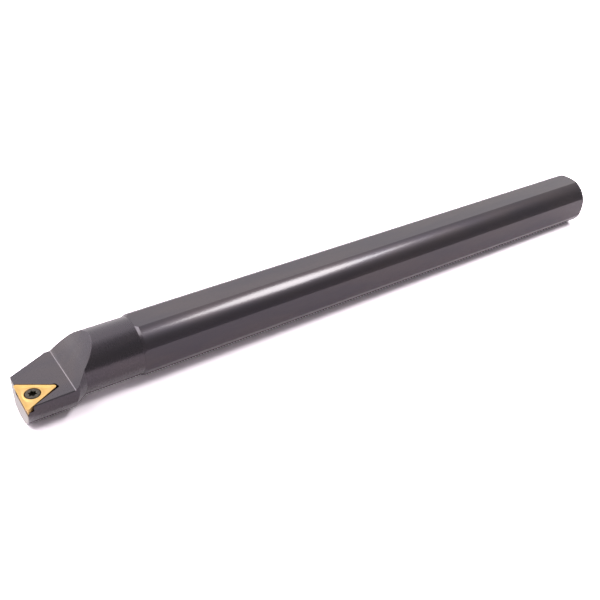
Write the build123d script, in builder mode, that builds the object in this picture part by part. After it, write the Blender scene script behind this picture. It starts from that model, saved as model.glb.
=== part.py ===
from build123d import *
import os
from math import cos, radians, sin, tan

# Indexable boring bar, right hand, in millimetres
# The bar lies along X with its rear face at x = 0 and its cutting end towards -X.
# Its axis is the X axis, its cutting side faces -Y, and the insert's top lies at z = 0.

# Shank and neck
overall_length = 304.8
shank_diameter = 25.4
across_flats = 23.5
rear_chamfer = 1.0
neck_relief = 0.65
neck_and_head_length = 47.4
shoulder_chamfer_length = 1.1
shoulder_chamfer_depth = 0.4
shoulder_fillet = 0.2

# Head, turned about an axis set over towards the cutting side and a little down
head_diameter = 27.9
head_offset = 1.1
head_drop = 0.45
flare_start = 23.8
flare_length = 5.0
end_face_setback = 0.4
front_face_offset = 14.7
front_face_angle = 1.3
back_relief_start = 16.1
back_relief_angle = 25.4

# Chip gullet over the insert
gullet_length = 18.7
gullet_ramp_angle = 45.0
gullet_corner_radius = 0.9
land_height = 0.15
edge_break = 0.3

# Triangular insert with a moulded chip breaker
insert_inscribed_circle = 9.525
insert_thickness = 3.97
insert_relief_angle = 11.0
insert_nose_radius = 0.8
lead_angle = 1.0
nose_offset = 15.1
breaker_land = 0.22
breaker_depth = 0.32
breaker_slope = 14.0
plateau_diameter = 7.3
plateau_drop = 0.04
plateau_slope = 35.0
insert_hole_diameter = 4.4
insert_mouth_diameter = 6.2
insert_mouth_depth = 0.5

# Insert screw and its tapped hole
screw_diameter = 3.9
screw_head_diameter = 5.5
screw_head_drop = 0.1
screw_cone_angle = 60.0
screw_head_rim = 0.16
screw_tip_chamfer = 0.35
thread_engagement = 5.6
tapped_hole_diameter = 4.0
tapped_hole_spare_depth = 0.9
drill_point_angle = 118.0
star_tip_diameter = 3.35
star_root_diameter = 2.4
star_flute_diameter = 1.5
star_depth = 1.5

# Clearances
seat_clearance = 0.04
screw_seat_clearance = 0.05
pocket_corner_relief = 1.3
pocket_relief_depth = 0.3
wall_relief_width = 0.3
wall_relief_depth = 1.3

# Planes and places that follow from the sizes
shank_radius = shank_diameter / 2
neck_radius = shank_radius - neck_relief
head_radius = head_diameter / 2
shoulder_x = neck_and_head_length - overall_length
flare_start_x = flare_start - overall_length
flare_end_x = flare_start_x - flare_length
back_relief_x = back_relief_start - overall_length
ridge_x = gullet_length - overall_length

inscribed_radius = insert_inscribed_circle / 2
nose_reach = insert_inscribed_circle - 2 * insert_nose_radius
nose_direction = radians(240 - lead_angle)
insert_x = -overall_length + insert_nose_radius - nose_reach * cos(nose_direction)
insert_y = -nose_offset + insert_nose_radius - nose_reach * sin(nose_direction)
flank_run = insert_thickness * tan(radians(insert_relief_angle))
seat_z = -insert_thickness
cone_slope = tan(radians(screw_cone_angle / 2))


def head_radius_at(depth):
    """Radius of the screw head's cone at a depth below the insert's top."""
    return screw_head_diameter / 2 - (depth - screw_head_drop) * cone_slope


# The insert's own plane has its X axis towards the corner at the back of the pocket.
insert_x_direction = (cos(radians(lead_angle)), -sin(radians(lead_angle)), 0)
insert_plane = Plane(origin=(insert_x, insert_y, 0), x_dir=insert_x_direction, z_dir=(0, 0, 1))
insert_section = Plane(origin=(insert_x, insert_y, 0), x_dir=(1, 0, 0), z_dir=(0, -1, 0))
insert_axis = Axis((insert_x, insert_y, 0), (0, 0, 1))

# Bar, from the turned blank to the finished seat
beyond = 2 * shank_diameter
with BuildPart() as bar:
    # Turned shank, shoulder and neck
    with BuildSketch(Plane.XZ):
        with BuildLine():
            Polyline(
                (0, 0),
                (0, shank_radius - rear_chamfer),
                (-rear_chamfer, shank_radius),
                (shoulder_x + shoulder_chamfer_length, shank_radius),
                (shoulder_x, shank_radius - shoulder_chamfer_depth),
                (shoulder_x, neck_radius),
                (flare_start_x, neck_radius),
                (flare_start_x, 0),
                close=True,
            )
        blank = make_face()
        fillet(blank.vertices().sort_by_distance((shoulder_x, 0, neck_radius))[0], shoulder_fillet)
    revolve(axis=Axis.X)

    # Four clamping flats milled along the shank
    with BuildSketch(Plane.YZ):
        Rectangle(beyond, beyond)
        Rectangle(across_flats, across_flats, mode=Mode.SUBTRACT)
    extrude(amount=shoulder_x, mode=Mode.SUBTRACT)

    # Flare from the neck out to the offset head
    with BuildSketch(Plane.YZ.offset(flare_start_x)):
        Circle(neck_radius)
    with BuildSketch(Plane.YZ.offset(flare_end_x)) as head_section:
        with Locations((-head_offset, -head_drop)):
            Circle(head_radius)
    loft(ruled=True)
    extrude(head_section.sketch, amount=-(overall_length + flare_end_x))

    # End face, set back a little from the insert's end cutting edge
    with BuildSketch(insert_plane):
        with Locations((end_face_setback - inscribed_radius, 0)):
            Rectangle(beyond, 2 * beyond, align=(Align.MAX, Align.CENTER))
    extrude(amount=beyond, both=True, mode=Mode.SUBTRACT)

    # Front face, closing in slightly away from the nose
    front_face = Plane(origin=(-overall_length, -front_face_offset, 0)).rotated((0, 0, front_face_angle))
    with BuildSketch(front_face):
        with Locations((-shank_radius, 0)):
            Rectangle(
                shank_radius + gullet_length + neck_radius,
                beyond,
                align=(Align.MIN, Align.MAX),
            )
    extrude(amount=beyond, both=True, mode=Mode.SUBTRACT)

    # Back relief, which narrows the head to its tip
    relief_plane = Plane(origin=(back_relief_x, head_radius - head_offset, 0))
    with BuildSketch(relief_plane.rotated((0, 0, back_relief_angle))):
        Rectangle(beyond, beyond, align=(Align.CENTER, Align.MIN))
    extrude(amount=beyond, both=True, mode=Mode.SUBTRACT)

    # Chip gullet with its flat land and its ramp
    ramp_run = beyond / tan(radians(gullet_ramp_angle))
    with BuildSketch(Plane.XZ):
        with BuildLine():
            Polyline(
                (-overall_length - beyond, land_height),
                (ridge_x, land_height),
                (ridge_x + ramp_run, land_height + beyond),
                (-overall_length - beyond, land_height + beyond),
                close=True,
            )
        gullet = make_face()
        fillet(gullet.vertices().sort_by_distance((ridge_x, 0, land_height))[0], gullet_corner_radius)
    extrude(amount=beyond, both=True, mode=Mode.SUBTRACT)

    # Broken edges round the land and the end face
    land = bar.faces().filter_by(Plane.XY).sort_by_distance((insert_x, insert_y, land_height))[0]
    chamfer(land.edges().filter_by(lambda edge: edge.center().X < back_relief_x), edge_break)
    end_face = bar.faces().sort_by_distance((-overall_length, 0, -head_radius / 2))[0]
    chamfer(end_face.edges().filter_by(lambda edge: edge.center().Z < -edge_break), edge_break)

    # Pocket for the insert, open at the end and at the nose
    wall_inradius = inscribed_radius - flank_run + seat_clearance
    pocket_corner = 2 * wall_inradius
    pocket_reach = 3 * insert_inscribed_circle
    with BuildSketch(insert_plane.offset(seat_z)):
        with Locations((pocket_corner - pocket_reach, 0)):
            RegularPolygon(pocket_reach, 3)
    extrude(amount=insert_thickness + beyond, taper=-insert_relief_angle, mode=Mode.SUBTRACT)

    # Upper part of the front wall, standing off from the insert
    relief_floor = insert_plane.offset(-wall_relief_depth).rotated((0, 0, -60))
    with BuildSketch(relief_floor):
        with Locations((inscribed_radius, nose_reach)):
            Rectangle(2 * wall_relief_width, beyond, align=(Align.CENTER, Align.MAX))
    extrude(amount=beyond, mode=Mode.SUBTRACT)

    # Corner relief behind the insert, sunk a little below the seat
    with BuildSketch(insert_plane.offset(seat_z - pocket_relief_depth)):
        with Locations((nose_reach, 0)):
            Circle(pocket_corner_relief)
    extrude(amount=insert_thickness + beyond, mode=Mode.SUBTRACT)

    # Tapped hole under the insert
    tapped_depth = thread_engagement + tapped_hole_spare_depth
    point_depth = tapped_hole_diameter / 2 / tan(radians(drill_point_angle / 2))
    with BuildSketch(insert_section):
        with BuildLine():
            Polyline(
                (0, 0),
                (tapped_hole_diameter / 2, 0),
                (tapped_hole_diameter / 2, seat_z - tapped_depth),
                (0, seat_z - tapped_depth - point_depth),
                close=True,
            )
        make_face()
    revolve(axis=insert_axis, mode=Mode.SUBTRACT)

# Insert
with BuildPart() as insert:
    # Triangle whose three flanks lean in under the cutting edges
    with BuildSketch(insert_plane):
        RegularPolygon(inscribed_radius, 3, major_radius=False)
    extrude(amount=-insert_thickness, taper=insert_relief_angle)
    flank_corners = insert.edges().filter_by(Plane.XY, reverse=True)
    fillet(flank_corners, insert_nose_radius)

    # Chip breaker that slopes down from a narrow land along each cutting edge
    with BuildSketch(insert_plane):
        RegularPolygon(inscribed_radius - breaker_land, 3, major_radius=False)
    extrude(amount=-breaker_depth, taper=90 - breaker_slope, mode=Mode.SUBTRACT)

    # Raised plateau round the hole
    plateau_rise = breaker_depth - plateau_drop
    plateau_foot = plateau_diameter / 2 + plateau_rise / tan(radians(plateau_slope))
    with BuildSketch(insert_plane.offset(-breaker_depth)):
        Circle(plateau_foot)
    extrude(amount=plateau_rise, taper=90 - plateau_slope)

    # Hole with a seat cone for the screw and a wider mouth above it
    seat_cone_top = head_radius_at(insert_mouth_depth) + screw_seat_clearance
    seat_cone_foot = insert_mouth_depth + (seat_cone_top - insert_hole_diameter / 2) / cone_slope
    with BuildSketch(insert_section):
        with BuildLine():
            Polyline(
                (0, 0),
                (insert_mouth_diameter / 2, 0),
                (seat_cone_top, -insert_mouth_depth),
                (insert_hole_diameter / 2, -seat_cone_foot),
                (insert_hole_diameter / 2, seat_z),
                (0, seat_z),
                close=True,
            )
        make_face()
    revolve(axis=insert_axis, mode=Mode.SUBTRACT)

# Insert screw
screw_radius = screw_diameter / 2
head_top_z = -screw_head_drop
rim_depth = screw_head_drop + screw_head_rim
cone_foot_z = head_top_z - (screw_head_diameter / 2 - screw_radius) / cone_slope
screw_tip_z = seat_z - thread_engagement
with BuildPart() as insert_screw:
    # Countersunk head and body in one turned profile
    with BuildSketch(insert_section):
        with BuildLine():
            Polyline(
                (0, head_top_z),
                (head_radius_at(rim_depth) - screw_head_rim, head_top_z),
                (head_radius_at(rim_depth), -rim_depth),
                (screw_radius, cone_foot_z),
                (screw_radius, screw_tip_z + screw_tip_chamfer),
                (screw_radius - screw_tip_chamfer, screw_tip_z),
                (0, screw_tip_z),
                close=True,
            )
        make_face()
    revolve(axis=insert_axis)

    # Six-lobed driving recess
    flute_circle = (star_root_diameter + star_flute_diameter) / 2
    with BuildSketch(insert_plane.offset(head_top_z)):
        Circle(star_tip_diameter / 2)
        with PolarLocations(flute_circle, 6):
            Circle(star_flute_diameter / 2, mode=Mode.SUBTRACT)
    extrude(amount=-star_depth, mode=Mode.SUBTRACT)

# Labelled solids, one file each
bar.part.label = "bar"
insert.part.label = "insert"
insert_screw.part.label = "insert_screw"
os.makedirs("parts", exist_ok=True)
export_step(bar.part, "parts/bar.step")
export_step(insert.part, "parts/insert.step")
export_step(insert_screw.part, "parts/insert_screw.step")
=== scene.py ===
"""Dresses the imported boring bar: black oxide steel, a gold coated insert and its screw, on a white table."""

import logging
import math
from collections.abc import Callable
from dataclasses import dataclass, field
from enum import Enum
from typing import Any

import bmesh
import bpy
from mathutils import Matrix, Vector

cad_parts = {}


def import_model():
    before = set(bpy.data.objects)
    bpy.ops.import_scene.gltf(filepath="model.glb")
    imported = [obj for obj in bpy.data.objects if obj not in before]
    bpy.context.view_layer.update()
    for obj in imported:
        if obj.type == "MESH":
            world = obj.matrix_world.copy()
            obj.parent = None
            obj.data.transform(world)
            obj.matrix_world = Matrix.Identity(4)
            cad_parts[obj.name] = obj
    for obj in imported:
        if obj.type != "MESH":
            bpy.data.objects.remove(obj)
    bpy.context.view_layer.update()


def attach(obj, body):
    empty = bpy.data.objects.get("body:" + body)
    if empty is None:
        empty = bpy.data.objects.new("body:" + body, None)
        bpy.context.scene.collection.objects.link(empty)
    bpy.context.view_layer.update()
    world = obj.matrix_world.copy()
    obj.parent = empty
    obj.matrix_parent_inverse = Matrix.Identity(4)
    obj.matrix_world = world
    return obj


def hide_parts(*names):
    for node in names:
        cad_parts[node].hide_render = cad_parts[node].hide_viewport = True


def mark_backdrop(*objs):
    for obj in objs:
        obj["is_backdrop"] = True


LOG = logging.getLogger("boring_bar")
MM = 0.001
WHITE = (1.0, 1.0, 1.0, 1.0)
Colour = tuple[float, float, float, float]
Point = tuple[float, float, float]
Pair = tuple[float, float]
Corner = bmesh.types.BMVert
Edge = bmesh.types.BMEdge
Face = bmesh.types.BMFace

# The value about which a noise swings
NOISE_MIDDLE = 0.5

# The slanted line along which the parts of a mesh are put in order
ORDER_LINE = Vector((0.71, 0.53, 0.46))

# Millimetres under which corners are one: after a cut, on a short edge, at a thread's seam and on a plane
MERGE = 0.001
SHORT_EDGE = 0.0005
THREAD_MERGE = 0.002
PLANE_MERGE = 1e-5

# Millimetres between the heights of its ends over which an edge is an upright one
RISE = 1.0


# Shader graphs


@dataclass(frozen=True)
class Grain:
    """A noise pattern: how often it swings in a millimetre along X, Y and Z, and its octaves."""

    x: float
    y: float
    z: float
    octaves: float


class Value:
    """One output of a shader graph. Arithmetic on it adds Math nodes to the graph."""

    def __init__(self, graph: "Graph", socket: bpy.types.NodeSocket) -> None:
        """Wraps a socket.

        Args:
            graph: the graph that the socket's node stands in.
            socket: an output socket.
        """
        self.graph = graph
        self.socket = socket

    def _math(self, operation: str, *operands: Any) -> "Value":
        """Adds one Math node.

        Args:
            operation: the node's operation, such as MULTIPLY.
            operands: values or numbers, in the node's order.

        Returns:
            The node's result.
        """
        return self.graph.node("ShaderNodeMath", dict(enumerate(operands)), operation=operation)

    def __add__(self, other: Any) -> "Value":
        """Sum."""
        return self._math("ADD", self, other)

    __radd__ = __add__

    def __sub__(self, other: Any) -> "Value":
        """Difference."""
        return self._math("SUBTRACT", self, other)

    def __rsub__(self, other: Any) -> "Value":
        """Difference from a number."""
        return self._math("SUBTRACT", other, self)

    def __mul__(self, other: Any) -> "Value":
        """Product."""
        return self._math("MULTIPLY", self, other)

    __rmul__ = __mul__

    def __abs__(self) -> "Value":
        """Size without its sign."""
        return self._math("ABSOLUTE", self)

    def larger(self, other: Any) -> "Value":
        """The larger of this and another value."""
        return self._math("MAXIMUM", self, other)

    def swing(self, spread: float) -> "Value":
        """A noise's swing about its middle, scaled to a spread."""
        return (self - NOISE_MIDDLE) * spread

    def step(self, low: float, high: float) -> "Value":
        """Smooth step from 0 to 1.

        Args:
            low: value up to which the result is 0.
            high: value from which it is 1.

        Returns:
            The stepped value.
        """
        inputs = {"Value": self, "From Min": low, "From Max": high}
        return self.graph.node("ShaderNodeMapRange", inputs, interpolation_type="SMOOTHSTEP")


class Graph:
    """The node tree of one material or world."""

    def __init__(self, owner: bpy.types.Material | bpy.types.World) -> None:
        """Empties the owner's node tree.

        Args:
            owner: the material or world to build.
        """
        owner.use_nodes = True
        self.tree = owner.node_tree
        self.tree.nodes.clear()

    def node(
        self, kind: str, inputs: dict[Any, Any] | None = None, output: Any = 0, **settings: Any
    ) -> Value:
        """Adds one node.

        Args:
            kind: the node's type.
            inputs: values or links by the name or number of the socket.
            output: name or number of the output that is wanted.
            settings: the node's own settings, set before its sockets.

        Returns:
            The wanted output.
        """
        step = self.tree.nodes.new(kind)
        for name, setting in settings.items():
            setattr(step, name, setting)
        for key, value in (inputs or {}).items():
            if isinstance(value, Value):
                self.tree.links.new(value.socket, step.inputs[key])
            else:
                step.inputs[key].default_value = value
        return Value(self, step.outputs[output])

    def place(self) -> Value:
        """Position on the object, in millimetres."""
        metres = self.node("ShaderNodeTexCoord", output="Object")
        return self.node("ShaderNodeVectorMath", {0: metres, "Scale": 1 / MM}, operation="SCALE")

    def axis(self, vector: Value, name: str) -> Value:
        """One component of a vector.

        Args:
            vector: the vector.
            name: X, Y or Z.

        Returns:
            That component.
        """
        return self.node("ShaderNodeSeparateXYZ", {0: vector}, output=name)

    def dot(self, vector: Value, direction: Point) -> Value:
        """How far a position lies along a direction.

        Args:
            vector: the position.
            direction: a direction of length 1.

        Returns:
            The distance.
        """
        pair = {0: vector, 1: direction}
        return self.node("ShaderNodeVectorMath", pair, output="Value", operation="DOT_PRODUCT")

    def noise(self, place: Value, grain: Grain) -> Value:
        """Noise from 0 to 1, stretched along the axes.

        Args:
            place: position in millimetres.
            grain: the noise's pattern.

        Returns:
            The noise.
        """
        scale = (grain.x, grain.y, grain.z)
        stretched = self.node("ShaderNodeVectorMath", {0: place, 1: scale}, operation="MULTIPLY")
        inputs = {"Vector": stretched, "Scale": 1.0, "Detail": grain.octaves}
        return self.node("ShaderNodeTexNoise", inputs)

    def mix(self, factor: Value, first: Any, second: Any) -> Value:
        """Mix of two colours.

        Args:
            factor: share of the second.
            first: colour, or a value that is one.
            second: colour, or a value that is one.

        Returns:
            The mixed colour.
        """
        # Sockets 6 and 7 and output 2 are the ones for colours
        return self.node("ShaderNodeMix", {0: factor, 6: first, 7: second}, output=2, data_type="RGBA")

    def bump(self, height: Value, depth: float) -> Value:
        """Normal of a relief.

        Args:
            height: height from 0 to 1.
            depth: the relief's depth in millimetres.

        Returns:
            The normal.
        """
        return self.node("ShaderNodeBump", {"Height": height, "Distance": depth * MM, "Strength": 1.0})

    def finish(self, shader: Value, kind: str = "ShaderNodeOutputMaterial") -> None:
        """Links a shader to a new output node.

        Args:
            shader: the last shader.
            kind: type of the output node.
        """
        end = self.tree.nodes.new(kind)
        self.tree.links.new(shader.socket, end.inputs["Surface"])

    def principled(self, **sockets: Any) -> None:
        """Ends the material in one Principled shader.

        Args:
            sockets: the shader's inputs, with _ for each space in a name.
        """
        inputs = {name.replace("_", " "): value for name, value in sockets.items()}
        self.finish(self.node("ShaderNodeBsdfPrincipled", inputs))


# Shapes


class Operation(Enum):
    """What a second shape does to the first."""

    CUT = "DIFFERENCE"
    JOIN = "UNION"
    KEEP = "INTERSECT"


@dataclass(frozen=True)
class Station:
    """One ring of a round body along X: its centre, its radius, and its lean along X for each Y."""

    x: float
    radius: float
    y: float = 0.0
    z: float = 0.0
    lean: float = 0.0

    def place(self) -> Matrix:
        """Takes a ring of radius 1 round the X axis to this ring.

        Returns:
            The matrix that does it.
        """
        lean = Matrix.Identity(4)
        lean[0][1] = self.lean
        centre = Matrix.Translation((self.x, 0, 0)) @ lean @ Matrix.Translation((0, self.y, self.z))
        return centre @ Matrix.Scale(self.radius, 4)


@dataclass(frozen=True)
class Thread:
    """Form of a thread: its pitch, and the shares of it where its flanks start and end."""

    pitch: float = 0.7
    rise_start: float = 0.12
    rise_end: float = 0.44
    fall_start: float = 0.56
    fall_end: float = 0.88

    def tooth(self, root: float, crest: float) -> list[Pair]:
        """Profile of one turn.

        Args:
            root: radius at the foot of the thread.
            crest: radius at its top.

        Returns:
            Radius of its points, and their height as a share of the pitch.
        """
        crests = [(crest, self.rise_end), (crest, self.fall_start)]
        return [(root, 0.0), (root, self.rise_start), *crests, (root, self.fall_end), (root, 1.0)]


def rises(edge: Edge) -> bool:
    """Whether an edge is an upright one."""
    return abs(edge.verts[0].co.z - edge.verts[1].co.z) > RISE


class Shape:
    """A closed mesh in millimetres that bmesh operators build up."""

    def __init__(self) -> None:
        """Starts with an empty mesh."""
        self.bm = bmesh.new()

    def grow(self, stations: list[Station], sides: int) -> "Shape":
        """Grows a round body ring by ring and closes both its ends.

        Args:
            stations: the rings, in order along X.
            sides: sides of each ring.

        Returns:
            This shape.
        """
        upright = stations[0].place() @ Matrix.Rotation(math.pi / 2, 4, "Y")
        bmesh.ops.create_circle(self.bm, segments=sides, radius=1.0, matrix=upright)
        ring = list(self.bm.edges)
        bmesh.ops.contextual_create(self.bm, geom=ring)
        for last, station in zip(stations, stations[1:]):
            grown = bmesh.ops.extrude_edge_only(self.bm, edges=ring)["geom"]
            corners = {part for part in grown if isinstance(part, Corner)}
            ring = [part for part in grown if isinstance(part, Edge) and corners.issuperset(part.verts)]
            move = station.place() @ last.place().inverted()
            bmesh.ops.transform(self.bm, matrix=move, verts=list(corners))
        bmesh.ops.contextual_create(self.bm, geom=ring)
        return self

    def box(self, low: Point, high: Point, place: Matrix | None = None) -> "Shape":
        """Adds a box.

        Args:
            low: its lowest corner.
            high: its highest corner.
            place: where it is moved and turned to.

        Returns:
            This shape.
        """
        size = Vector(high) - Vector(low)
        middle = (Vector(high) + Vector(low)) / 2
        matrix = (place or Matrix()) @ Matrix.Translation(middle) @ Matrix.Diagonal((*size, 1.0))
        bmesh.ops.create_cube(self.bm, size=1.0, matrix=matrix)
        return self

    def cone(self, radii: Pair, heights: Pair, sides: int, place: Matrix | None = None) -> "Shape":
        """Adds an upright cone, cylinder or pyramid with its first corner towards +X.

        Args:
            radii: radius at its foot and at its top.
            heights: height of its foot and of its top.
            sides: number of its sides.
            place: where it is moved and turned to.

        Returns:
            This shape.
        """
        middle = Matrix.Translation((0, 0, sum(heights) / 2))
        bmesh.ops.create_cone(
            self.bm,
            cap_ends=True,
            segments=sides,
            radius1=radii[0],
            radius2=radii[1],
            depth=heights[1] - heights[0],
            matrix=(place or Matrix()) @ middle @ Matrix.Rotation(-math.pi / 2, 4, "Z"),
        )
        return self

    def lathe(self, profile: list[Pair], steps: int) -> "Shape":
        """Turns a profile once round the Z axis.

        Args:
            profile: radius and height of its points, from axis to axis.
            steps: steps of the turn.

        Returns:
            This shape.
        """
        line = self._line(profile)
        bmesh.ops.spin(self.bm, geom=line, axis=(0, 0, 1), angle=math.tau, steps=steps, use_merge=True)
        self.tidy()
        return self

    def thread(self, form: Thread, root: float, crest: float, heights: Pair, steps: int) -> "Shape":
        """Winds a right-hand thread round the Z axis and squares off its ends.

        Args:
            form: the thread's form.
            root: radius at the foot of the thread.
            crest: radius at its top.
            heights: height of its lower and upper end.
            steps: steps of one turn.

        Returns:
            This shape.
        """
        low = heights[0] - 2 * form.pitch
        turns = math.ceil((heights[1] - low) / form.pitch) + 1
        line = self._line([(radius, low + share * form.pitch) for radius, share in form.tooth(root, crest)])
        bmesh.ops.spin(
            self.bm,
            geom=line,
            axis=(0, 0, 1),
            dvec=(0, 0, form.pitch / steps),
            angle=math.tau * turns,
            steps=steps * turns,
            use_merge=False,
        )
        bmesh.ops.remove_doubles(self.bm, verts=self.bm.verts, dist=THREAD_MERGE)
        for height, normal in zip(heights, ((0, 0, -1), (0, 0, 1))):
            self.slice((0, 0, height), normal)
        return self

    def _line(self, points: list[Pair]) -> list[Any]:
        """Draws a line in the XZ plane.

        Args:
            points: radius and height of its points.

        Returns:
            Its vertices and edges.
        """
        corners = [self.bm.verts.new((radius, 0, height)) for radius, height in points]
        return corners + [self.bm.edges.new(pair) for pair in zip(corners, corners[1:])]

    def slice(self, point: Point, normal: Point, nearer_than: float = math.inf) -> list[Face]:
        """Cuts off what lies beyond a plane and closes the cut.

        Args:
            point: a point of the plane.
            normal: direction of the side that goes.
            nearer_than: only faces whose centre has a smaller X are cut.

        Returns:
            The faces of the cut.
        """
        region = [face for face in self.bm.faces if face.calc_center_median().x < nearer_than]
        edges = dict.fromkeys(edge for face in region for edge in face.edges)
        corners = dict.fromkeys(corner for face in region for corner in face.verts)
        bmesh.ops.bisect_plane(
            self.bm,
            geom=[*corners, *edges, *region],
            dist=PLANE_MERGE,
            plane_co=point,
            plane_no=normal,
            clear_outer=True,
        )
        rim = [edge for edge in self.bm.edges if edge.is_boundary]
        return bmesh.ops.holes_fill(self.bm, edges=rim, sides=0)["faces"]

    def combine(self, tool: "Shape", operation: Operation) -> "Shape":
        """Cuts, joins or keeps this shape with another, which is used up.

        Args:
            tool: the other shape.
            operation: what it does.

        Returns:
            This shape.
        """
        blank, cutter = (shape.loose(name) for shape, name in ((self, "blank"), (tool, "cutter")))
        step = blank.modifiers.new("step", "BOOLEAN")
        step.operation = operation.value
        step.solver = "EXACT"
        step.object = cutter
        whole = blank.evaluated_get(bpy.context.evaluated_depsgraph_get())
        result = bpy.data.meshes.new_from_object(whole)
        self.bm.clear()
        self.bm.from_mesh(result)
        for left in (blank.data, cutter.data, result):
            bpy.data.meshes.remove(left)
        tool.bm.free()
        self.tidy()
        return self

    def loose(self, name: str) -> bpy.types.Object:
        """Puts the shape as it is now into an object of its own.

        Args:
            name: name of the object and its mesh.

        Returns:
            The object.
        """
        bmesh.ops.recalc_face_normals(self.bm, faces=self.bm.faces)
        mesh = bpy.data.meshes.new(name)
        self.bm.to_mesh(mesh)
        piece = bpy.data.objects.new(name, mesh)
        bpy.context.scene.collection.objects.link(piece)
        return piece

    def order(self) -> None:
        """Puts corners, edges and faces in an order that comes from their places alone."""
        self.bm.verts.sort(key=lambda corner: corner.co.dot(ORDER_LINE))
        self.bm.edges.sort(key=lambda edge: (edge.verts[0].co + edge.verts[1].co).dot(ORDER_LINE))
        self.bm.faces.sort(key=lambda face: face.calc_center_median().dot(ORDER_LINE))

    def tidy(self) -> None:
        """Merges corners that lie on each other and drops edges without length."""
        self.order()
        bmesh.ops.remove_doubles(self.bm, verts=self.bm.verts, dist=MERGE)
        bmesh.ops.dissolve_degenerate(self.bm, dist=SHORT_EDGE, edges=self.bm.edges)

    def move(self, matrix: Matrix) -> "Shape":
        """Moves and turns the whole shape."""
        bmesh.ops.transform(self.bm, matrix=matrix, verts=self.bm.verts)
        return self

    def edges(self, wanted: Callable[[Edge], bool]) -> list[Edge]:
        """The edges between two faces for which a test holds."""
        return [edge for edge in self.bm.edges if len(edge.link_faces) == 2 and wanted(edge)]

    def bevel(self, edges: list[Edge], offset: float, segments: int = 1, clamp: bool = True) -> "Shape":
        """Breaks or rounds edges.

        Args:
            edges: the edges.
            offset: how far each side of the break is from the edge.
            segments: 1 for a flat break, more for a round one.
            clamp: whether short edges keep the break small.

        Returns:
            This shape.
        """
        bmesh.ops.bevel(
            self.bm,
            geom=edges,
            offset=offset,
            offset_type="OFFSET",
            segments=segments,
            profile=0.5,
            affect="EDGES",
            material=-1,
            clamp_overlap=clamp,
        )
        return self

    def piece(self, name: str, material: bpy.types.Material, smooth_below: float) -> bpy.types.Object:
        """Turns the shape into a finished piece, in metres.

        Args:
            name: name of the piece.
            material: its material.
            smooth_below: edges flatter than this angle, in degrees, are shaded smooth.

        Returns:
            The piece.
        """
        self.move(Matrix.Scale(MM, 4))
        piece = self.loose(name)
        self.bm.free()
        piece.data.shade_smooth()
        piece.data.set_sharp_from_angle(angle=math.radians(smooth_below))
        piece.data.materials.append(material)
        LOG.info("%s: %d faces, %.1f mm long", name, len(piece.data.polygons), piece.dimensions.x / MM)
        return piece


# Finishes


@dataclass(frozen=True)
class OxideSteel:
    """Oiled black oxide on milled and turned steel, thinner on the ground end of the head, whose colour is
    also painted pale as the reflection of the white table.
    """

    slot: str = "oxide_steel"
    black: Colour = (0.074, 0.060, 0.070, 1.0)
    warm: Colour = (0.084, 0.069, 0.075, 1.0)
    cool: Colour = (0.066, 0.057, 0.070, 1.0)
    # Bare ground steel of the end face, made paler still as painted reflection of the white table
    bare_end_and_painted_reflection: Colour = (0.57, 0.56, 0.53, 1.0)
    shank_roughness: float = 0.36
    flat_roughness: float = 0.38
    neck_roughness: float = 0.28
    ground_roughness: float = 0.48
    ground_metal: float = 0.6
    coat_roughness: float = 0.165
    coat_ior: float = 1.5
    clouds: Grain = Grain(0.02, 0.09, 0.09, 3.0)
    cloud_limits: Pair = (0.35, 0.65)
    specks: Grain = Grain(0.9, 0.9, 0.9, 4.0)
    speck_limits: Pair = (0.4, 0.8)
    speck_share: float = 0.5
    speck_spread: float = 0.04
    milling: Grain = Grain(0.05, 5.0, 5.0, 3.0)
    turning: Grain = Grain(9.0, 0.06, 0.06, 3.0)
    mark_depth: float = 0.0005
    mark_spread: float = 0.05
    shoulder_fade: float = 0.1
    flat_skin: float = 0.02
    flat_limit: float = 0.06
    end_skin: Pair = (0.03, 0.01)

    def material(self, shoulder: float, flat: float, seat: "Seat") -> bpy.types.Material:
        """Builds the material.

        Args:
            shoulder: where the shank ends and the neck starts, in millimetres along the bar.
            flat: distance of the clamping flats from the bar's axis, in millimetres.
            seat: the insert's place, which the head's end face is square to.

        Returns:
            The material.
        """
        material = bpy.data.materials.new(self.slot)
        graph = Graph(material)
        place = graph.place()
        along = graph.axis(place, "X")
        across = abs(graph.axis(place, "Y"))
        upright = abs(graph.axis(place, "Z"))
        furthest = across.larger(upright)
        on_shank = along.step(shoulder, shoulder + self.shoulder_fade)
        past_flat = furthest.step(flat + self.flat_skin, flat + self.flat_limit)
        on_flat = furthest.step(flat - self.flat_skin, flat) * (1 - past_flat) * on_shank
        clouds = graph.noise(place, self.clouds)
        specks = graph.noise(place, self.specks)
        tint = graph.mix(clouds.step(*self.cloud_limits), self.warm, self.cool)
        oxide = graph.mix(specks.step(*self.speck_limits) * self.speck_share, tint, self.black)
        low, high = (seat.end_reach() - skin for skin in self.end_skin)
        ground = graph.dot(place, seat.end_normal()).step(low, high)
        # Painted reflection: the ground end face is bare steel, and its colour is made much paler than that to
        # stand in for the white table it reflects
        colour = graph.mix(ground, oxide, self.bare_end_and_painted_reflection)
        milling = graph.noise(place, self.milling)
        turning = graph.noise(place, self.turning)
        marks = on_flat * milling + (1 - on_flat) * turning
        shank = on_flat * self.flat_roughness + (1 - on_flat) * self.shank_roughness
        lay = on_shank * shank + (1 - on_shank) * self.neck_roughness
        roughness = lay * (1 - ground) + ground * self.ground_roughness
        roughness = roughness + marks.swing(self.mark_spread) + specks.swing(self.speck_spread)
        graph.principled(
            Base_Color=colour,
            Metallic=1 - ground * (1 - self.ground_metal),
            Roughness=roughness,
            Coat_Weight=1 - ground,
            Coat_Roughness=self.coat_roughness,
            Coat_IOR=self.coat_ior,
            Normal=graph.bump(marks, self.mark_depth),
        )
        return material


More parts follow.
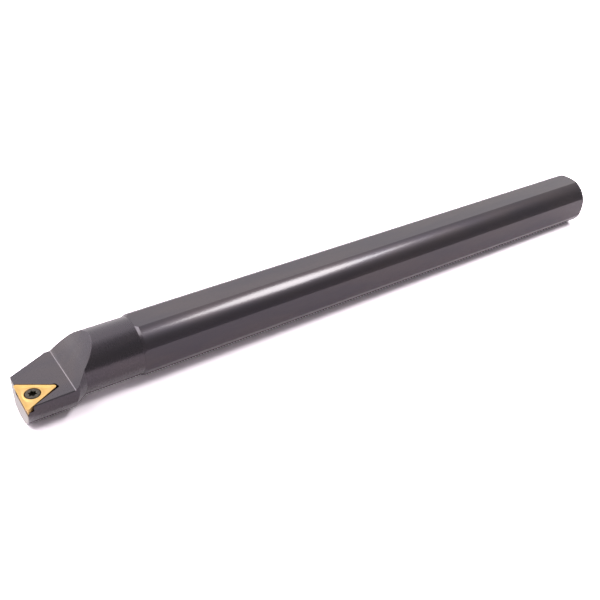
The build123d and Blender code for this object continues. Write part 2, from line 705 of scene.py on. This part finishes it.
@dataclass(frozen=True)
class GoldCoating:
    """Thin gold coloured coating on moulded carbide, painted dark inside the hole's mouth as shade."""

    slot: str = "coated_carbide"
    gold: Colour = (0.80, 0.51, 0.17, 1.0)
    pale: Colour = (0.84, 0.56, 0.22, 1.0)
    mouth_painted_shade: Colour = (0.10, 0.06, 0.03, 1.0)
    roughness: float = 0.34
    clouds: Grain = Grain(0.25, 0.25, 0.25, 2.0)
    cloud_limits: Pair = (0.3, 0.7)
    grain: Grain = Grain(14.0, 14.0, 14.0, 2.0)
    grain_depth: float = 0.0008
    grain_spread: float = 0.08
    mouth_shade_limits: Pair = (-0.05, 0.02)

    def material(self, seat: "Seat", mouth: float) -> bpy.types.Material:
        """Builds the material.

        Args:
            seat: the insert's place.
            mouth: radius of the hole's mouth, inside which the coating is painted dark as shade.

        Returns:
            The material.
        """
        material = bpy.data.materials.new(self.slot)
        graph = Graph(material)
        place = graph.place()
        grain = graph.noise(place, self.grain)
        flat = graph.node("ShaderNodeVectorMath", {0: place, 1: (1.0, 1.0, 0.0)}, operation="MULTIPLY")
        axis = (seat.x, seat.y, 0.0)
        radius = graph.node("ShaderNodeVectorMath", {0: flat, 1: axis}, output="Value", operation="DISTANCE")
        clouds = graph.noise(place, self.clouds).step(*self.cloud_limits)
        coating = graph.mix(clouds, self.gold, self.pale)
        # Painted shade: inside the hole's mouth the gold goes to a near black brown, standing in for the
        # shadowed gap round the screw's head
        low, high = (mouth + limit for limit in self.mouth_shade_limits)
        graph.principled(
            Base_Color=graph.mix(radius.step(low, high), self.mouth_painted_shade, coating),
            Metallic=1.0,
            Roughness=grain.swing(self.grain_spread) + self.roughness,
            Normal=graph.bump(grain, self.grain_depth),
        )
        return material


@dataclass(frozen=True)
class ScrewSteel:
    """Dark oiled steel of the small screw."""

    slot: str = "screw_steel"
    dark: Colour = (0.080, 0.073, 0.062, 1.0)
    bright: Colour = (0.155, 0.140, 0.115, 1.0)
    roughness: float = 0.36
    blotches: Grain = Grain(1.6, 1.6, 1.6, 3.0)
    blotch_limits: Pair = (0.35, 0.7)
    blotch_spread: float = 0.15

    def material(self) -> bpy.types.Material:
        """Builds the material.

        Returns:
            The material.
        """
        material = bpy.data.materials.new(self.slot)
        graph = Graph(material)
        blotches = graph.noise(graph.place(), self.blotches)
        graph.principled(
            Base_Color=graph.mix(blotches.step(*self.blotch_limits), self.dark, self.bright),
            Metallic=1.0,
            Roughness=blotches.swing(self.blotch_spread) + self.roughness,
        )
        return material


@dataclass(frozen=True)
class Tabletop:
    """Pale table, white to the camera, that takes the bar's shadow and looks less shaded in reflections."""

    name: str = "tabletop"
    pale: Colour = (0.62, 0.575, 0.61, 1.0)
    seen_gain: float = 2.3
    reflected_gain: float = 0.05
    beneath_gain: float = 0.5
    beneath_reach: float = 15.0
    beneath_fade: float = 5.0

    def material(self) -> bpy.types.Material:
        """Builds the material.

        Returns:
            The material.
        """
        material = bpy.data.materials.new(self.name)
        graph = Graph(material)
        seen = graph.node("ShaderNodeLightPath", output="Is Camera Ray")
        reflected = graph.node("ShaderNodeLightPath", output="Is Glossy Ray")
        beside = abs(graph.axis(graph.place(), "Y"))
        # Painted light: in reflections the table under and beside the bar is brightened, which takes the bar's
        # shadow out of what the steel reflects
        beneath = 1 - beside.step(self.beneath_reach, self.beneath_reach + self.beneath_fade)
        gain = seen * self.seen_gain + reflected * (beneath * self.beneath_gain + self.reflected_gain) + 1.0
        colour = graph.node("ShaderNodeVectorMath", {0: self.pale[:3], "Scale": gain}, operation="SCALE")
        graph.finish(graph.node("ShaderNodeBsdfDiffuse", {"Color": colour}))
        return material


# The bar and its screw


@dataclass(frozen=True)
class Seat:
    """The insert's place on the bar, which the pocket, the end face and the screw are set out from."""

    x: float = -299.91832
    y: float = -7.50695
    lead_angle: float = 1.0
    inscribed_radius: float = 4.7625
    thickness: float = 3.97
    relief_angle: float = 11.0
    nose_reach: float = 7.925
    end_setback: float = 0.4

    def matrix(self) -> Matrix:
        """Turns and moves a shape round the Z axis to the insert."""
        lead = Matrix.Rotation(-math.radians(self.lead_angle), 4, "Z")
        return Matrix.Translation((self.x, self.y, 0)) @ lead

    def end_normal(self) -> Point:
        """Direction that the head's end face looks in."""
        angle = math.radians(self.lead_angle)
        return -math.cos(angle), math.sin(angle), 0.0

    def end_reach(self) -> float:
        """Distance of the head's end face from the origin, along its normal."""
        x, y, _ = self.end_normal()
        return self.x * x + self.y * y + self.inscribed_radius - self.end_setback


@dataclass(frozen=True)
class HeadSide:
    """An upright side of the head, and how its corner with the end face is taken off.

    The corner's cuts lean from the end face to the side by the given shares.
    """

    x: float
    y: float
    angle: float
    sign: float
    corner: float
    shares: tuple[float, ...]

    def normal(self) -> Vector:
        """Direction that the side looks in."""
        turn = math.radians(self.angle)
        return Vector((-self.sign * math.sin(turn), self.sign * math.cos(turn), 0.0))


@dataclass
class Bar:
    """Shank, neck and cutting head in one piece of steel, with the pocket and the tapped hole."""

    seat: Seat = field(default_factory=Seat)
    finish: OxideSteel = field(default_factory=OxideSteel)
    sides: int = 192
    rear_x: float = 0.0
    shank_radius: float = 12.7
    rear_chamfer: float = 1.0
    flat: float = 11.75
    flat_cutter: float = 8.0
    shoulder_x: float = -257.4
    shoulder_length: float = 1.1
    shoulder_depth: float = 0.4
    shoulder_fillet: float = 0.2
    fillet_turns: tuple[int, ...] = (0, 30, 60, 90)
    neck_radius: float = 12.05
    flare_start_x: float = -281.0
    flare_end_x: float = -286.0
    head_radius: float = 13.95
    head_y: float = -1.1
    head_z: float = -0.45
    front: HeadSide = HeadSide(x=-304.8, y=-14.7, angle=1.3, sign=-1.0, corner=0.3, shares=(0.5,))
    relief: HeadSide = HeadSide(
        x=-288.7, y=12.85, angle=25.4, sign=1.0, corner=1.2, shares=(0.25, 0.5, 0.75)
    )
    shank_margin: float = 1.0
    ridge_x: float = -286.1
    land_z: float = 0.15
    ridge_run: float = 0.373
    ridge_steps: int = 10
    ramp_slope: float = 1.0
    ramp_break: float = 0.12
    ramp_steps: int = 2
    ramp_crease: float = 15.0
    edge_break: float = 0.3
    break_tilt: float = 45.0
    nearness: float = 0.01
    evenness: float = 0.001
    sliver: float = 0.035
    beyond: float = 40.0
    cutter_reach: float = 5.0
    smooth_below: float = 18.0

    def stations(self) -> list[Station]:
        """Rings of the turned blank, from the rear face to the end face, which leans by the lead angle.

        Returns:
            The rings, in order along the bar.
        """
        lean = -self.seat.end_normal()[1] / self.seat.end_normal()[0]
        end_x = self.seat.end_reach() / self.seat.end_normal()[0]
        fillet = [
            Station(
                self.shoulder_x - self.shoulder_fillet * (1 - math.cos(math.radians(angle))),
                self.neck_radius + self.shoulder_fillet * (1 - math.sin(math.radians(angle))),
            )
            for angle in self.fillet_turns
        ]
        return [
            Station(self.rear_x, self.shank_radius - self.rear_chamfer),
            Station(self.rear_x - self.rear_chamfer, self.shank_radius),
            Station(self.shoulder_x + self.shoulder_length, self.shank_radius),
            Station(self.shoulder_x, self.shank_radius - self.shoulder_depth),
            *fillet,
            Station(self.flare_start_x, self.neck_radius),
            Station(self.flare_end_x, self.head_radius, self.head_y, self.head_z),
            Station(end_x + self.edge_break, self.head_radius, self.head_y, self.head_z, lean),
            Station(end_x, self.head_radius - self.edge_break, self.head_y, self.head_z, lean),
        ]

    def face_off(self, bar: Shape) -> None:
        """Cuts the head's front and back faces and breaks their edges with the end face.

        Args:
            bar: the turned blank.
        """
        head_only = self.shoulder_x - self.shank_margin
        end = Vector(self.seat.end_normal())
        for side in (self.front, self.relief):
            face = side.normal()
            point = (side.x, side.y, 0)
            bar.slice(point, face, head_only)
            reach = Vector((self.seat.end_reach() - side.corner, face.dot(point) - side.corner, 0))
            centre = Matrix((end, face, (0, 0, 1))).inverted() @ reach
            for share in side.shares:
                facing = end.lerp(face, share).normalized()
                bar.slice(centre + facing * side.corner, facing, head_only)

    def flats(self) -> Shape:
        """The four boxes that mill the clamping flats.

        Returns:
            One cutter that holds all four.
        """
        low = (self.shoulder_x, -self.flat_cutter, self.flat)
        high = (self.rear_x + self.flat_cutter, self.flat_cutter, self.flat + self.flat_cutter)
        cutter = Shape()
        for quarter in range(4):
            cutter.box(low, high, Matrix.Rotation(quarter * math.pi / 2, 4, "X"))
        return cutter

    def gullet(self) -> Shape:
        """The slanted block that mills the land and the ramp, with its lower edge rounded.

        Returns:
            The cutter.
        """
        slope = Matrix.Shear("XY", 4, (self.ramp_slope, 0.0))
        lean = Matrix.Translation((self.ridge_x, 0, self.land_z)) @ slope
        cutter = Shape().box((-self.beyond, -self.beyond, 0), (0, self.beyond, self.beyond), lean)

        def on_ridge(corner: Corner) -> bool:
            """Whether a corner lies on the ridge's line."""
            return abs(corner.co.x - self.ridge_x) + abs(corner.co.z - self.land_z) < self.nearness

        foot = cutter.edges(lambda edge: all(map(on_ridge, edge.verts)))
        return cutter.bevel(foot, self.ridge_run, self.ridge_steps)

    def land_breaks(self) -> list[Shape]:
        """The three cutters that break the land's outer edges.

        Returns:
            One box for each edge, with a face in the plane of its break.
        """
        depth = self.edge_break / math.sqrt(2)
        low = (-self.beyond, -self.cutter_reach, -depth)
        end = Vector(self.seat.end_normal()) * self.seat.end_reach()
        front, relief = self.front, self.relief
        tilt = self.break_tilt
        edges = (
            ((front.x, front.y), front.angle, tilt, self.ridge_x - self.ridge_run - front.x),
            ((relief.x, relief.y), relief.angle, -tilt, 0.0),
            ((end.x, end.y), 90.0 - self.seat.lead_angle, -tilt, self.beyond),
        )
        cutters = []
        for (x, y), turn, lean, run in edges:
            aim = Matrix.Rotation(math.radians(turn), 4, "Z") @ Matrix.Rotation(math.radians(lean), 4, "X")
            place = Matrix.Translation((x, y, self.land_z)) @ aim
            cutters.append(Shape().box(low, (run, self.cutter_reach, self.cutter_reach), place))
        return cutters

    def break_ramp(self, bar: Shape) -> None:
        """Breaks the ramp's outline.

        Args:
            bar: the bar with its gullet.
        """

        def on_ramp(face: Face) -> bool:
            """Whether a face lies in the ramp's plane."""
            x, y, z = face.normal
            return abs(x + z) < self.evenness and abs(y) < self.evenness and z > 0

        def on_outline(edge: Edge) -> bool:
            """Whether an edge parts the ramp from a face that meets it at an angle."""
            parts = sum(map(on_ramp, edge.link_faces)) == 1
            return parts and edge.calc_face_angle() > math.radians(self.ramp_crease)

        bar.bevel(bar.edges(on_outline), self.ramp_break, self.ramp_steps, clamp=False)

    def mesh(self) -> Shape:
        """Makes the whole bar, from the turned blank to the finished seat.

        Returns:
            The bar.
        """
        bar = Shape().grow(self.stations(), self.sides)
        self.face_off(bar)
        bar.combine(self.flats(), Operation.CUT)
        bar.combine(self.gullet(), Operation.CUT)
        for cutter in self.land_breaks() + Pocket(self.seat).cutters():
            bar.combine(cutter, Operation.CUT)
        bmesh.ops.remove_doubles(bar.bm, verts=bar.bm.verts, dist=self.sliver)
        bmesh.ops.recalc_face_normals(bar.bm, faces=bar.bm.faces)
        self.break_ramp(bar)
        return bar

    def build(self) -> bpy.types.Object:
        """Makes and dresses the bar, which stands for the plain solid.

        Returns:
            The piece.
        """
        material = self.finish.material(self.shoulder_x, self.flat, self.seat)
        piece = self.mesh().piece("bar_body", material, self.smooth_below)
        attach(piece, "bar")
        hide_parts("bar")
        return piece


@dataclass
class Pocket:
    """What is milled and drilled for the insert: walls, reliefs and the tapped hole."""

    seat: Seat
    form: Thread = field(default_factory=Thread)
    clearance: float = 0.04
    mill_reach: float = 28.575
    mill_height: float = 10.0
    apex_round: float = 1.2
    corner_radius: float = 1.3
    corner_sink: float = 0.3
    wall_relief: float = 0.75
    wall_relief_turn: float = 3.0
    wall_relief_z: float = -2.2
    round_steps: int = 8
    beyond: float = 50.8
    hole_radius: float = 2.0
    hole_floor: float = -10.47
    hole_sides: int = 48
    drill_point: float = 1.2
    thread_radius: float = 2.2
    thread_floor: float = -9.9
    thread_overlap: float = 0.02
    thread_steps: int = 32

    def top(self) -> float:
        """Height that the mills reach up to."""
        return self.mill_height - self.seat.thickness

    def walls(self) -> Shape:
        """The three-sided mill for the seat and its leaning walls, with a rounded apex.

        Returns:
            The cutter.
        """
        seat = self.seat
        slope = math.tan(math.radians(seat.relief_angle))
        corner = 2 * (seat.inscribed_radius - seat.thickness * slope + self.clearance)
        reach = self.mill_reach + 2 * self.mill_height * slope
        mill = Shape().cone((self.mill_reach, reach), (-seat.thickness, self.top()), 3)
        apex = mill.edges(lambda edge: all(end.co.x > self.mill_reach / 2 for end in edge.verts))
        mill.bevel(apex, self.apex_round, self.round_steps)
        return mill.move(seat.matrix() @ Matrix.Translation((corner - self.mill_reach, 0, 0)))

    def relief(self) -> Shape:
        """The mill that stands the front wall off from the insert, turned and with a round inner end.

        Returns:
            The cutter.
        """
        seat = self.seat
        low = (-self.wall_relief, -self.beyond, self.wall_relief_z)
        mill = Shape().box(low, (self.wall_relief, seat.nose_reach, self.top()))
        inner = mill.edges(lambda edge: rises(edge) and min(*edge.verts[0].co.xy) > 0)
        mill.bevel(inner, self.wall_relief, self.round_steps)
        side = seat.matrix() @ Matrix.Rotation(-math.pi / 3, 4, "Z")
        wall = side @ Matrix.Translation((seat.inscribed_radius, 0, 0))
        return mill.move(wall @ Matrix.Rotation(-math.radians(self.wall_relief_turn), 4, "Z"))

    def corner(self) -> Shape:
        """The round mill that clears the insert's hidden nose.

        Returns:
            The cutter.
        """
        radii = (self.corner_radius, self.corner_radius)
        heights = (-self.seat.thickness - self.corner_sink, self.top())
        place = self.seat.matrix() @ Matrix.Translation((self.seat.nose_reach, 0, 0))
        return Shape().cone(radii, heights, self.hole_sides, place)

    def hole(self) -> list[Shape]:
        """The drill and the tap for the screw.

        Returns:
            One shape for each of the two.
        """
        drill = Shape().lathe(
            [
                (0.0, self.hole_floor - self.drill_point),
                (self.hole_radius, self.hole_floor),
                (self.hole_radius, 0.0),
                (0.0, 0.0),
            ],
            self.hole_sides,
        )
        root = self.hole_radius - self.thread_overlap
        heights = (self.thread_floor, 0.0)
        tap = Shape().thread(self.form, root, self.thread_radius, heights, self.thread_steps)
        return [tool.move(self.seat.matrix()) for tool in (drill, tap)]

    def cutters(self) -> list[Shape]:
        """The cutters in the order of their work.

        Returns:
            One shape for each cut.
        """
        return [self.walls(), self.relief(), self.corner(), *self.hole()]


@dataclass
class Insert:
    """Triangular insert with a honed cutting edge, a moulded chip breaker and a countersunk hole."""

    seat: Seat = field(default_factory=Seat)
    finish: GoldCoating = field(default_factory=GoldCoating)
    nose_radius: float = 0.8
    nose_steps: int = 20
    hone: float = 0.035
    breaker_land: float = 0.22
    breaker_floor: float = -0.32
    breaker_slope: float = 14.0
    breaker_round: float = 0.7
    breaker_steps: int = 6
    plateau_radius: float = 3.35
    plateau_z: float = -0.1
    plateau_foot: float = 4.5
    plateau_sink: float = 0.02
    hole_radius: float = 2.2
    mouth_radius: float = 3.1
    mouth_z: float = -0.5
    cone_radius: float = 2.569
    cone_foot_z: float = -1.139
    sides: int = 96
    beyond: float = 1.0
    smooth_below: float = 8.0

    def blank(self) -> Shape:
        """The pressed triangle with round noses, leaning flanks and a honed edge.

        Returns:
            The blank, round the Z axis.
        """
        shape = Shape()
        bm = shape.bm
        noses = []
        for number in range(3):
            turn = Matrix.Rotation(number * math.tau / 3, 4, "Z")
            centre = turn @ Vector((self.seat.nose_reach, 0, -self.hone))
            start = turn @ Matrix.Rotation(-math.pi / 3, 4, "Z") @ Vector((self.nose_radius, 0, 0))
            first = bm.verts.new(centre + start)
            arc = bmesh.ops.spin(
                bm, geom=[first], cent=centre, axis=(0, 0, 1), angle=math.tau / 3, steps=self.nose_steps
            )
            last = next(part for part in arc["geom_last"] if isinstance(part, Corner))
            noses.append((first, last))
        for number in range(3):
            bm.edges.new((noses[number][1], noses[(number + 1) % 3][0]))
        outline = list(bm.edges)
        top = bmesh.ops.contextual_create(bm, geom=outline)["faces"]
        bmesh.ops.recalc_face_normals(bm, faces=top)
        if top[0].normal.z < 0:
            bmesh.ops.reverse_faces(bm, faces=top)
        grown = bmesh.ops.extrude_edge_only(bm, edges=outline)["geom"]
        feet = [part for part in grown if isinstance(part, Corner)]
        rim = [part for part in grown if isinstance(part, Edge) and set(feet).issuperset(part.verts)]
        bmesh.ops.translate(bm, verts=feet, vec=(0, 0, self.hone - self.seat.thickness))
        run = 2 * self.seat.thickness * math.tan(math.radians(self.seat.relief_angle))
        for number in range(3):
            out = Matrix.Rotation(number * math.tau / 3, 3, "Z") @ Vector((1, 0, 0))
            nose = [foot for foot in feet if foot.co.dot(out) > self.seat.nose_reach / 2]
            bmesh.ops.translate(bm, verts=nose, vec=-out * run)
        bmesh.ops.contextual_create(bm, geom=rim)
        bmesh.ops.inset_region(bm, faces=top, thickness=self.hone, depth=self.hone, use_even_offset=True)
        return shape

    def mesh(self) -> Shape:
        """Makes the insert round the Z axis.

        Returns:
            The insert, before it is moved to its seat.
        """
        shape = self.blank()
        slope = math.tan(math.radians(self.breaker_slope))
        corner = 2 * (self.seat.inscribed_radius - self.breaker_land)
        radii = (corner + 2 * self.breaker_floor / slope, corner + 2 * self.beyond / slope)
        breaker = Shape().cone(radii, (self.breaker_floor, self.beyond), 3)
        breaker.bevel(breaker.edges(rises), self.breaker_round, self.breaker_steps)
        shape.combine(breaker, Operation.CUT)
        heights = (self.breaker_floor - self.plateau_sink, self.plateau_z)
        plateau = Shape().cone((self.plateau_foot, self.plateau_radius), heights, self.sides)
        shape.combine(plateau, Operation.JOIN)
        flare = (self.mouth_radius - self.cone_radius) / -self.mouth_z
        foot = -self.seat.thickness - self.beyond
        hole = Shape().lathe(
            [
                (0.0, foot),
                (self.hole_radius, foot),
                (self.hole_radius, self.cone_foot_z),
                (self.cone_radius, self.mouth_z),
                (self.mouth_radius, 0.0),
                (self.mouth_radius + flare * self.beyond, self.beyond),
                (0.0, self.beyond),
            ],
            self.sides,
        )
        return shape.combine(hole, Operation.CUT)

    def build(self) -> bpy.types.Object:
        """Makes and dresses the insert, which stands for the plain solid.

        Returns:
            The piece.
        """
        shape = self.mesh().move(self.seat.matrix())
        material = self.finish.material(self.seat, self.mouth_radius)
        piece = shape.piece("honed_insert", material, self.smooth_below)
        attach(piece, "insert")
        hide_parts("insert")
        return piece


@dataclass
class InsertScrew:
    """Countersunk M4 screw with a six-lobed recess and its thread."""

    seat: Seat = field(default_factory=Seat)
    finish: ScrewSteel = field(default_factory=ScrewSteel)
    form: Thread = field(default_factory=Thread)
    top_z: float = -0.1
    rim_radius: float = 2.51
    rim_run: float = 0.09
    rim_drop: float = 0.03
    head_radius: float = 2.6576
    edge_z: float = -0.26
    edge_rise: float = 0.04
    edge_drop: float = 0.01
    edge_run: float = 0.03
    cone_foot_z: float = -1.486
    neck_allowance: float = 0.1
    neck_taper: float = 0.35
    neck_foot_z: float = -2.3
    core_radius: float = 1.6
    crest_radius: float = 1.95
    crest_overlap: float = 0.02
    runout_drop: float = 0.45
    runout_depth: float = 0.25
    runout_foot: float = 0.9
    tip_z: float = -9.57
    tip_chamfer: float = 0.35
    thread_top_z: float = -1.5
    thread_beyond: float = 0.5
    thread_steps: int = 36
    recess_radius: float = 1.675
    recess_depth: float = 1.5
    recess_beyond: float = 1.0
    lobe_radius: float = 0.75
    lobe_circle: float = 1.95
    lobe_sides: int = 48
    lobe_round: float = 0.1
    lobe_steps: int = 4
    lobe_crease: float = 30.0
    sides: int = 96
    smooth_below: float = 28.0

    def recess(self) -> Shape:
        """The six-lobed key shape that sinks the recess, with its lobes rounded.

        Returns:
            The cutter.
        """
        low, high = self.top_z - self.recess_depth, self.top_z + self.recess_beyond
        key = Shape().cone((self.recess_radius, self.recess_radius), (low, high), self.sides)
        flutes = Shape()
        radii = (self.lobe_radius, self.lobe_radius)
        heights = (low - self.recess_beyond, high + self.recess_beyond)
        for number in range(6):
            turn = Matrix.Rotation(number * math.pi / 3, 4, "Z")
            place = turn @ Matrix.Translation((self.lobe_circle, 0, 0))
            flutes.cone(radii, heights, self.lobe_sides, place)
        key.combine(flutes, Operation.CUT)
        crease = math.radians(self.lobe_crease)
        lobes = key.edges(lambda edge: rises(edge) and edge.calc_face_angle() > crease)
        return key.bevel(lobes, self.lobe_round, self.lobe_steps)

    def head(self) -> Shape:
        """The countersunk head and the neck under it.

        Returns:
            The head, on the Z axis.
        """
        neck_radius = self.core_radius + self.neck_allowance
        return Shape().lathe(
            [
                (0.0, self.top_z),
                (self.rim_radius, self.top_z),
                (self.rim_radius + self.rim_run, self.top_z - self.rim_drop),
                (self.head_radius, self.edge_z + self.edge_rise),
                (self.head_radius - self.edge_run, self.edge_z - self.edge_drop),
                (self.crest_radius, self.cone_foot_z),
                (neck_radius, self.cone_foot_z - self.neck_taper),
                (neck_radius, self.neck_foot_z),
                (0.0, self.neck_foot_z),
            ],
            self.sides,
        )

    def body(self) -> Shape:
        """The thread, which runs out under the head and ends in a chamfered tip.

        Returns:
            The body, on the Z axis.
        """
        runout_z = self.cone_foot_z - self.runout_drop
        envelope = Shape().lathe(
            [
                (0.0, runout_z),
                (self.crest_radius - self.runout_depth, runout_z),
                (self.crest_radius, self.cone_foot_z - self.runout_foot),
                (self.crest_radius, self.tip_z + self.tip_chamfer),
                (self.crest_radius - self.tip_chamfer, self.tip_z),
                (0.0, self.tip_z),
            ],
            self.sides,
        )
        crest = self.crest_radius + self.crest_overlap
        heights = (self.tip_z - self.thread_beyond, self.thread_top_z)
        body = Shape().thread(self.form, self.core_radius, crest, heights, self.thread_steps)
        return body.combine(envelope, Operation.KEEP)

    def mesh(self) -> Shape:
        """Makes the screw on the Z axis."""
        screw = self.head().combine(self.body(), Operation.JOIN)
        return screw.combine(self.recess(), Operation.CUT)

    def build(self) -> bpy.types.Object:
        """Makes and dresses the screw, which stands for the plain solid.

        Returns:
            The piece.
        """
        screw = self.mesh().move(self.seat.matrix())
        piece = screw.piece("threaded_screw", self.finish.material(), self.smooth_below)
        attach(piece, "insert_screw")
        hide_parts("insert_screw")
        return piece


# The studio


@dataclass
class Studio:
    """Table, camera and lamps, with the camera where the photograph was taken from."""

    camera_place: Point = (-0.351162, -0.237032, 0.197984)
    camera_azimuth: float = -36.330
    camera_elevation: float = 34.812
    camera_roll: float = 3.4925
    camera_lens: float = 47.9947
    camera_near: float = 0.01
    table_size: float = 6.0
    rear_rest: float = -11.75 * MM
    head_rest: float = -14.4 * MM
    head_rest_x: float = -286.0 * MM
    lamp_aim: Point = (-0.19, -0.0075, 0.0103)
    lamp_direction: Point = (0.478, -0.324, 0.817)
    lamp_distance: float = 1.0
    lamp_width: float = 0.30
    lamp_radiance: float = 14.0
    ambient_front: float = 0.28
    ambient_back: float = 1.20
    ambient_fall: float = 0.32
    wall_limits: Pair = (-0.25, 0.35)
    fall_limits: Pair = (0.2, 0.9)
    window_gain: float = 4.2
    window_left: Pair = (-0.56, -0.50)
    window_right: Pair = (-0.26, -0.18)
    window_front: Pair = (-0.45, -0.3)
    window_sill: Pair = (0.44, 0.52)
    room_tint: Colour = (1.0, 0.96, 0.985, 1.0)

    def table(self) -> bpy.types.Object:
        """Lays the table under the bar's two lines of rest.

        Returns:
            Nothing: mark_backdrop marks the table as backdrop and gives back None.
        """
        bm = bmesh.new()
        bmesh.ops.create_grid(bm, x_segments=1, y_segments=1, size=self.table_size / 2)
        slope = (self.rear_rest - self.head_rest) / -self.head_rest_x
        tilt = Matrix.Translation((0, 0, self.rear_rest)) @ Matrix.Rotation(-math.atan(slope), 4, "Y")
        bmesh.ops.transform(bm, matrix=tilt, verts=bm.verts)
        mesh = bpy.data.meshes.new("table")
        bm.to_mesh(mesh)
        bm.free()
        table = bpy.data.objects.new("table", mesh)
        bpy.context.scene.collection.objects.link(table)
        mesh.materials.append(Tabletop().material())
        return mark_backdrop(table)

    def camera(self) -> None:
        """Sets the camera at the photograph's place, angle and roll."""
        lens = bpy.data.cameras.new("camera")
        lens.lens = self.camera_lens
        lens.clip_start = self.camera_near
        camera = bpy.data.objects.new("camera", lens)
        turn = Matrix.Rotation(math.radians(self.camera_azimuth), 4, "Z")
        tip = Matrix.Rotation(math.radians(90 - self.camera_elevation), 4, "X")
        roll = Matrix.Rotation(math.radians(self.camera_roll), 4, "Z")
        camera.matrix_world = Matrix.Translation(self.camera_place) @ turn @ tip @ roll
        bpy.context.scene.collection.objects.link(camera)
        bpy.context.scene.camera = camera

    def lamp(self) -> None:
        """Hangs the softbox whose reflection lies along the front of the shank."""
        direction = Vector(self.lamp_direction).normalized()
        light = bpy.data.lights.new("softbox", "AREA")
        light.shape = "SQUARE"
        light.size = self.lamp_width
        light.energy = self.lamp_radiance * math.pi * self.lamp_width**2
        lamp = bpy.data.objects.new("softbox", light)
        aim = direction.to_track_quat("Z", "Y").to_matrix().to_4x4()
        lamp.matrix_world = Matrix.Translation(Vector(self.lamp_aim) + direction * self.lamp_distance) @ aim
        bpy.context.scene.collection.objects.link(lamp)

    def world(self) -> None:
        """Surrounds the table: a bright wall behind, a dim room in front and a high window on the left."""
        world = bpy.data.worlds.new("room")
        bpy.context.scene.world = world
        graph = Graph(world)
        direction = graph.node("ShaderNodeTexCoord", output="Generated")
        x, y, z = (graph.axis(direction, name) for name in "XYZ")
        wall = self.ambient_back - self.ambient_front - x.step(*self.fall_limits) * self.ambient_fall
        above = y.step(*self.window_front) * z.step(*self.window_sill)
        window = x.step(*self.window_left) * (1 - x.step(*self.window_right)) * above
        level = y.step(*self.wall_limits) * wall + window * self.window_gain + self.ambient_front
        room = graph.node("ShaderNodeBackground", {"Color": self.room_tint, "Strength": level})
        white = graph.node("ShaderNodeBackground", {"Color": WHITE, "Strength": 1.0})
        seen = graph.node("ShaderNodeLightPath", output="Is Camera Ray")
        mixed = graph.node("ShaderNodeMixShader", {0: seen, 1: room, 2: white})
        graph.finish(mixed, "ShaderNodeOutputWorld")

    def build(self) -> None:
        """Sets up everything that isn't part of the bar."""
        self.table()
        self.camera()
        self.lamp()
        self.world()
        bpy.context.scene.view_settings.view_transform = "Standard"


def main() -> None:
    """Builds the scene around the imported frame."""
    logging.basicConfig(level=logging.INFO, format="%(name)s: %(message)s")
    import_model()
    Studio().build()
    for part in (Bar(), Insert(), InsertScrew()):
        part.build()


if __name__ == "__main__":
    main()
